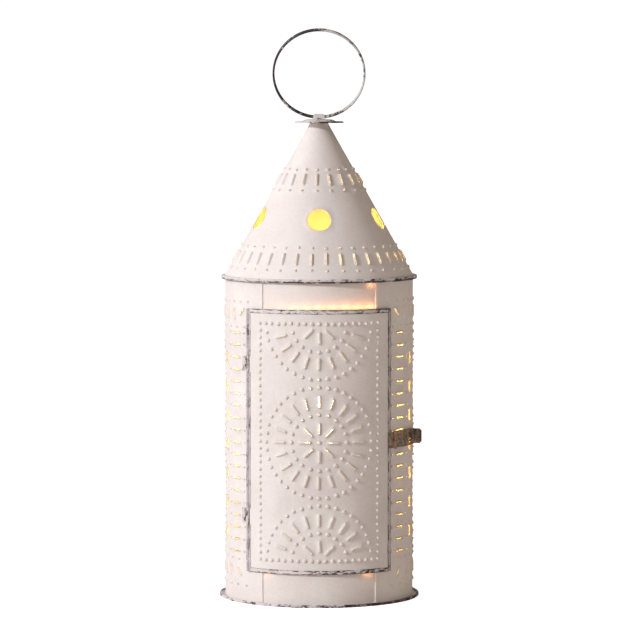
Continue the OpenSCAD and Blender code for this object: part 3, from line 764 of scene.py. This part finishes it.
def drum_marks(radius):
    """Marks of the drum, with the arc length counted from the middle of the back."""
    per_degree = np.radians(1) * radius

    def from_back(degrees, side):
        """Arc length at an angle from the front."""
        return (180 - degrees) * per_degree * -side

    def spaced(count, degrees):
        """Arc lengths of a row that is centred on the back."""
        return (np.arange(count) - (count - 1) / 2) * degrees * per_degree

    dots, slots, upright = [], [], []
    for side in (1, -1):
        inner, middle, outer, last = (from_back(degrees, side) for degrees in LADDER[side])
        ladder_dots = np.concatenate([dots_at(inner, RUNG_HEIGHTS),
                                      dots_at(outer, RUNG_HEIGHTS)])
        if side == 1:
            hasp, height = HASP_PLACE
            ladder_dots = clear_of(ladder_dots, from_back(hasp, side), height, 5, 8)
        else:
            for height in STRAP_HEIGHTS:
                ladder_dots = clear_of(ladder_dots, inner, height, 5, 9)
        dots.append(ladder_dots)
        slots.append(slots_at(middle, RUNG_HEIGHTS, 0, 12.8))
        upright.append(slots_at(last, UPRIGHT_HEIGHTS, 90 * side, 11.5))
        slots.append(slots_at(from_back(53.7, side), 271.5, -50 * side, 10.4))
        slots.append(slots_at(from_back(56.2, side), 28.5, 50 * side, 10.4))
        more_dots, more_slots = panel(from_back(118.5, side), PANEL_HALF_WIDTH, 46, 250, 0.93)
        dots.append(more_dots)
        slots.append(more_slots)
    dots += [dots_at(s, RUNG_HEIGHTS) for s in (-BACK_LADDER_HALF, BACK_LADDER_HALF)]
    slots.append(slots_at(0, RUNG_HEIGHTS, 0, 13.6))
    dots += [dots_at(spaced(count, apart), height) for count, apart, height in BORDER_DOTS]
    slots += [slots_at(spaced(count, apart), height, 90, length)
              for count, apart, height, length in BORDER_SLOTS]
    dots = clear_of(np.concatenate(dots), 0, OUTLET_HEIGHT, 11, 11)
    slots = clear_of(np.concatenate(slots), 0, OUTLET_HEIGHT, 11, 11)
    return dots, slots, np.concatenate(upright)


def build_drum_sheet():
    """The drum's sheet round the back, from one side of its mouth to the other, with a
    plain hole for the cord outlet."""
    low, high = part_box("body_shell")
    radius = high.y / MM
    edge = np.radians(180 - MOUTH_ANGLE) * radius
    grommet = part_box("cord_grommet")
    outlet = np.array([[0, (grommet[0].z + grommet[1].z) / 2 / MM, 0, 0]])
    dots, slots, upright = (struck_by_hand(marks) for marks in drum_marks(radius))
    corner_low, corner_high = (-edge, low.z / MM), (edge, high.z / MM)
    step = 5.0
    inner = lattice(corner_low, corner_high, step,
                    np.concatenate([dots, slots, upright, outlet]))
    inner = inner[np.linalg.norm(inner - outlet[0, :2], axis=1) > 8]
    points, faces, extra = punched_sheet(
        rectangle(corner_low, corner_high, step), inner,
        [(dots, OPEN_DOT, DOT_POINTS), (slots, OPEN_SLOT, SLOT_POINTS),
         (upright, FRONT_SLOT, SLOT_POINTS), (outlet, OUTLET, OUTLET_POINTS)])
    degrees = 180 + np.degrees(points[:, 0] / radius)
    wrapped = at(radius + points[:, 2], degrees, points[:, 1])
    make_piece("drum_sheet", wrapped, faces, "lantern_body", "cream_paint",
               ("body_shell",), extra)


# The cone's radius falls by this much for each unit of height, and its seam is a little
# off the middle of the back. Rows of marks are (count, height, angle of the middle).
CONE_SLOPE = 0.5631
SEAM = 169
CONE_DOTS = ((20, 402.8, -3), (20, 383.6, -3), (36, 331.6, 5), (36, 311.1, 5))
CONE_SLOTS = ((20, 393.5, -3), (36, 321.3, 5))
VENTS = (5, 357, 0)


def build_cone_sheet():
    """The cone is stamped in its flat development: a point at distance u from the apex
    and angle a round the axis lies at angle a * sin(half angle) of a flat sector. The
    sector's two straight edges meet in a seam at the back."""
    low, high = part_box("roof_cone")
    wide, bottom, top = high.x / MM, low.z / MM, high.z / MM
    half_angle = math.atan(CONE_SLOPE)
    sine, cosine = math.sin(half_angle), math.cos(half_angle)
    apex = bottom + wide / CONE_SLOPE

    def flat_at(degrees, u):
        turn = np.radians(degrees) * sine
        return np.stack(np.broadcast_arrays(u * np.sin(turn), -u * np.cos(turn)), -1)

    def ring(count, height, phase):
        degrees = phase + (np.arange(count) - count // 2) * 360 / count
        degrees = np.where(degrees > SEAM, degrees - 360, degrees)
        degrees = np.where(degrees < SEAM - 360, degrees + 360, degrees)
        spot = flat_at(degrees, (apex - height) / cosine)
        return spot[:, 0], spot[:, 1], 90 + degrees * sine

    dots = np.concatenate([dots_at(*ring(*row)[:2]) for row in CONE_DOTS])
    slots = np.concatenate([slots_at(*ring(*row), 12.2) for row in CONE_SLOTS])
    dots, slots = struck_by_hand(dots), struck_by_hand(slots)
    vents = dots_at(*ring(*VENTS)[:2])
    near, far = (apex - top) / cosine, wide / sine
    seam_edges, rim_edges = 32, 144
    down = np.linspace(near, far, seam_edges + 1)
    turns = np.linspace(SEAM - 360, SEAM, rim_edges + 1)
    outline = np.concatenate([
        flat_at(turns[:-1], far), flat_at(SEAM, down[:0:-1]),
        flat_at(turns[:0:-2], near), flat_at(SEAM - 360, down[:-1])])
    walled = np.ones(len(outline), bool)
    walled[rim_edges:rim_edges + seam_edges] = False
    walled[-seam_edges:] = False
    inner = lattice((-far, -far), (far, far), 4.6, np.concatenate([dots, slots]))
    u = np.linalg.norm(inner, axis=1)
    turn = np.degrees(np.arctan2(inner[:, 0], -inner[:, 1])) / sine
    edge = np.radians(np.minimum(SEAM - turn, turn - SEAM + 360)) * sine * u
    margin = 2.5
    inner = inner[(u > near + margin) & (u < far - margin) & (edge > margin)]
    away = np.linalg.norm(inner[:, None] - vents[None, :, :2], axis=-1)
    inner = inner[(away > 14.5).all(1)]
    points, faces, extra = punched_sheet(
        outline, inner, [(dots, OPEN_DOT, DOT_POINTS), (slots, LOUVRE_SLOT, SLOT_POINTS),
                         (vents, VENT, VENT_POINTS)], walled)
    u = np.linalg.norm(points[:, :2], axis=1)
    turn = np.degrees(np.arctan2(points[:, 0], -points[:, 1])) / sine
    rise = points[:, 2]
    wrapped = at(u * sine + rise * cosine, turn, apex - u * cosine + rise * sine)
    make_piece("cone_sheet", wrapped, faces, "lantern_body", "cream_paint",
               ("roof_cone",), extra)


# ---------------------------------------------------------------- rims, cap, folds

def build_roof_rim():
    """Folded rim: a rolled bead with the groove of its fold half way up."""
    low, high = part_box("roof_rim")
    r, z0, z1 = high.x / MM, low.z / MM, high.z / MM
    outline = rounded([
        (r - 3.9, z0), (r - 0.5, z0), (r, z0 + 0.7), (r - 0.05, z0 + 1.3),
        (r - 0.5, z0 + 1.6), (r - 0.15, z0 + 1.9), (r - 0.1, z0 + 2.8), (r - 0.8, z1),
        (r - 4.4, z1), (r - 4.5, z0 + 2), (r - 3.9, z0 + 2)], 0.22)
    lathe("roof_rim_fold", outline, "worn_edge", ("roof_rim",), 240, 0.2, 0.16, 2,
          edges=outline[:, 1] < z0 + 1.45)


def build_base_rim():
    """Folded flange that the lantern stands on, flat underneath."""
    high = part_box("base_rim")[1]
    r, z1 = high.x / MM, high.z / MM
    outline = rounded([
        (r - 2.5, 0), (r - 0.6, 0), (r - 0.12, 0.5), (r - 0.15, 1.0), (r - 0.5, 1.25),
        (r - 0.22, 1.6), (r - 0.3, 2.3), (r - 0.8, z1), (r - 2.5, z1 - 0.1)], 0.18)
    lathe("base_rim_fold", outline, "worn_edge", ("base_rim",), 240, 0.1, 0.0, 5,
          edges=0.75)


def build_cap():
    """Cap plate with a rolled edge, and the dished boss on it."""
    low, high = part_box("cap_disc")
    r, z0, z1 = high.x / MM, low.z / MM, high.z / MM
    plate = rounded([(0.6, z0), (r - 0.9, z0 - 0.02), (r - 0.1, z0 + 0.25), (r, z0 + 0.8),
                     (r - 0.5, z1 + 0.05), (r - 1.6, z1 - 0.12), (r - 3.5, z1), (0.6, z1)],
                    0.2)
    plate[plate[:, 0] < 1.0, 0] = 0.0
    # The cap plate's look has painted shade: more dark bare metal towards the right.
    lathe("cap_plate", plate, "worn_edge", ("cap_disc",), 144, 0.12, 0.0, 3,
          look="worn_and_shaded_cap", edges=plate[:, 0] > r - 1.2)
    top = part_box("cap_boss")[1].z / MM
    dish = rounded([(0.6, z1), (16, z1), (15.2, z1 + 0.6), (13.4, top - 0.5),
                    (11.6, top), (0.6, top)], 0.3)
    dish[dish[:, 0] < 1.0, 0] = 0.0
    lathe("cap_dish", dish, "cream_paint", ("cap_boss",), 144, look="worn_paint")


def build_ring_holder():
    """Strap bent over the ring: a narrow back that flares into two feet. Its middle line
    follows a rounded hat shape, and its half width grows towards the feet."""
    low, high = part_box("ring_holder")
    reach, z0, rise = high.y / MM, low.z / MM, (high.z - low.z) / MM
    half = high.x / MM
    t = 0.8
    leg = 3.4 + t / 2
    path = rounded([(-reach, t / 2), (-leg, t / 2), (-leg, rise - t / 2),
                    (leg, rise - t / 2), (leg, t / 2), (reach, t / 2)],
                   np.array([0.01, 0.9, 0.7, 0.7, 0.9, 0.01]), 5)[3:-3]
    along = np.gradient(path, axis=0)
    along /= np.linalg.norm(along, axis=1, keepdims=True)
    away = np.stack([-along[:, 1], along[:, 0]], 1)
    narrow = 4.2 + (half - 4.2) * (1 - (path[:, 1] / rise).clip(0, 1)) ** 0.7
    loop = rounded([(-1, -0.5), (1, -0.5), (1, 0.5), (-1, 0.5)], 0.12)
    x = loop[None, :, 0] * narrow[:, None]
    yz = path[:, None] + away[:, None] * loop[None, :, 1:] * t
    stations = np.stack([x, yz[..., 0], z0 + yz[..., 1]], -1)
    carried("ring_holder_strap", stations, "lantern_body", "cream_paint",
            ("ring_holder",), "worn_paint", 0.6 * (abs(loop[:, 0]) > 0.9))


def build_front_hems():
    """Folded front edges of the drum: a flattened loop of sheet, carried upwards."""
    low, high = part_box("body_shell")
    radius, bottom, top = high.y / MM, low.z / MM, 299.6
    free_edge = MOUTH_ANGLE + 2.2
    z = np.linspace(bottom, top, 60)
    for name, side in (("hem_latch_side", 1), ("hem_hinge_side", -1)):
        loop = rounded([(radius - 0.6, MOUTH_ANGLE), (radius + 0.5, MOUTH_ANGLE),
                        (radius + 0.5, free_edge), (radius - 0.6, free_edge)],
                       np.array([0.3, 0.3, 0.25, 0.1]))
        wave = ripple(z * 1.3, 0.05, side + 4)[:, None]
        stations = at(loop[None, :, 0], side * (loop[None, :, 1] + wave), z[:, None])
        if side > 0:
            stations = stations[:, ::-1]
        carried(name, stations, "lantern_body", "cream_paint", ("body_shell",))


def fold_outline(depth, t=0.4):
    """Strip folded over a sheet's edge: pairs of (offset from the sheet's outer face,
    distance from the fold), with rounded backs and two free edges."""
    corners = [(-SHEET_T - t, depth), (-SHEET_T - t, 0.0), (t, 0.0), (t, depth / 2),
               (t, depth), (0.0, depth), (0.0, t), (-SHEET_T, t), (-SHEET_T, depth)]
    corner_radius = np.array([0.1, 0.35, 0.35, depth / 4, 0.1, 0.1, 0.04, 0.04, 0.1])
    return rounded(corners, corner_radius)


def build_door_bindings():
    """Folded strips over the door's top, bottom and latch edges, cut by hand, so that
    their free edges wander."""
    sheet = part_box("door_panel")
    radius = -sheet[0].y / MM
    loop = fold_outline(3.7)
    free = (loop[:, 1] > 3)[None, :]
    rubbed = (loop[:, 1] < 0.7) | (loop[:, 1] > 3)
    for node, seed in (("door_top_binding", 1), ("door_bottom_binding", 2)):
        low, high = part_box(node)
        ends = [math.degrees(math.asin(corner.x / -low.y)) for corner in (low, high)]
        turn = np.linspace(*ends, 110)[:, None]
        bottom = node == "door_bottom_binding"
        edge = (low if bottom else high).z / MM
        inward = 1 if bottom else -1
        wave = ripple(turn[:, 0] * 6, 0.22, seed)[:, None] * free
        height = edge + inward * (loop[None, :, 1] + wave)
        stations = at(radius + loop[None, :, 0], turn, height)
        if bottom:
            stations = stations[:, ::-1]
        carried(node + "_fold", stations, "door", "worn_edge", (node,),
                edges=rubbed[::-1] if bottom else rubbed)
    low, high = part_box("door_latch_binding")
    z = np.linspace(low.z / MM, high.z / MM, 160)
    wave = ripple(z * 4, 0.22, 6)[:, None] * free
    latch = math.degrees(math.asin(high.x / MM / (radius + 0.4)))
    angle = latch - np.degrees((loop[None, :, 1] + wave) / radius)
    stations = at(radius + loop[None, :, 0], angle, z[:, None])
    carried("door_latch_binding_fold", stations[:, ::-1], "door", "worn_edge",
            ("door_latch_binding",), "worn_upright", rubbed[::-1])


def build_floor():
    """Pale floor that looks plain white, and sends a warmer light up at the lantern."""
    points = np.array([(-9, -5, 0), (9, -5, 0), (9, 30, 0), (-9, 30, 0)], float)
    mesh = bpy.data.meshes.new("floor")
    mesh.from_pydata(points.tolist(), [], [(0, 1, 2, 3)])
    floor = bpy.data.objects.new("floor", mesh)
    bpy.context.scene.collection.objects.link(floor)
    material, tree, shader, _ = new_material("floor")
    seen = put(tree, "LightPath").outputs["Is Camera Ray"]
    colour = mixed(tree, seen, (0.76, 0.72, 0.69, 1), (0.9, 0.9, 0.9, 1))
    fill(tree, shader, {"Base Color": colour, "Roughness": 0.9,
                        "Emission Color": (1, 1, 1, 1),
                        "Emission Strength": sums(tree, "MULTIPLY", seen, 0.85)})
    mesh.materials.append(material)


GAP_RADIUS = 90.6
LIT_RADIUS = 86.5


def leak_light(degrees, height, rise, width, power):
    """Lamplight that leaks round the door's edge: a short strip light in the gap, which
    shines along the sheet behind it and isn't seen itself."""
    place = (at(GAP_RADIUS, degrees, height) * MM).tolist()
    target = (at(LIT_RADIUS, degrees, height + rise) * MM).tolist()
    light = area_light("leak", place, target, power, width * MM, (1.0, 0.4, 0.13))
    light.data.shape = "RECTANGLE"
    light.data.size_y = 1.2 * MM
    light.visible_camera = False


def lamplight_round_door():
    """Leaks over the door's top edge, stronger towards the latch, under the rim at the
    hem, and at the two lower corners."""
    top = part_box("door_top_binding")[1].z / MM
    corner = 32
    for degrees in np.linspace(-corner, corner, 9):
        leak_light(degrees, top + 0.6, 13, 10, 0.0006 * (1 + 0.8 * degrees / corner))
    leak_light(33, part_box("roof_rim")[0].z / MM - 0.5, -12, 8, 0.0004)
    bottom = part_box("door_bottom_binding")[0].z / MM
    leak_light(31, bottom - 0.6, -8, 10, 0.00022)
    leak_light(-32, bottom - 0.6, -8, 8, 0.00012)


def light_scene():
    """White surround that is brighter on the left than on the right, where it is also
    warmer, a key light from the front left, and a weak warm light low on the right."""
    world = bpy.data.worlds.new("surround")
    bpy.context.scene.world = world
    world.use_nodes = True
    tree = world.node_tree
    ground = tree.nodes["Background"]
    way = put(tree, "TexCoord").outputs["Generated"]
    split = put(tree, "SeparateXYZ", {0: way}).outputs
    level = spread(tree, split["X"], -1.0, 0.9, 0.87, 0.07)
    tint = mixed(tree, spread(tree, split["X"], -0.4, 0.7), (1, 1, 1, 1), (1, 0.74, 0.5, 1))
    seen = put(tree, "LightPath").outputs["Is Camera Ray"]
    level = put(tree, "Mix", {0: seen, 2: level, 3: 1.05}).outputs[0]
    tree.links.new(level, ground.inputs["Strength"])
    tree.links.new(mixed(tree, seen, tint, (1, 1, 1, 1)), ground.inputs["Color"])
    area_light("key", (-2.9, -2.2, 1.75), (0, 0, 0.25), 84, 0.45, (1.0, 0.985, 0.985))
    area_light("table_glow", (0.95, -0.1, 0.03), (0, 0, 0.12), 1.7, 0.5, (1.0, 0.87, 0.72))


CARRIED = {
    "cream_paint": ("base_plate", "top_band", "bottom_band"),
    "worn_upright": ("door_hinge_binding", "door_hinge_wire"),
    "worn_strap": ("upper_hinge_strap", "lower_hinge_strap", "hinge_strap_rivets",
                   "holder_rivets"),
    "worn_ring": ("carry_ring",),
    "aged_iron": ("hasp_hinge_leaf", "hasp_pin", "hasp_strap", "latch_staple"),
    "plated_steel": ("lamp_bracket", "bracket_rivets", "lampholder_stem"),
    "brass": ("threaded_nipple", "nipple_locknut", "lampholder_screw_shell",
              "lampholder_contact"),
    "black_rubber": ("cord_grommet",),
    "brown_phenolic": ("lampholder_body",),
    "candle_card": ("candle_sleeve",),
    "bulb_glass": ("bulb_glass",),
    "bulb_cap_metal": ("bulb_screw_cap", "bulb_contact"),
    "black_insulator": ("bulb_insulator",),
    "stem_glass": ("bulb_stem",),
    "filament": ("bulb_filament",),
}


def finish_cad_nodes():
    """Gives every carried-over CAD node its procedural finish."""
    for label, nodes in CARRIED.items():
        for node in nodes:
            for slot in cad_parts[node].material_slots:
                slot.material = finish[label]


build_floor()
light_scene()
lamplight_round_door()
finish_cad_nodes()
build_door_sheet()
build_drum_sheet()
build_cone_sheet()
build_roof_rim()
build_base_rim()
build_cap()
build_ring_holder()
build_front_hems()
build_door_bindings()
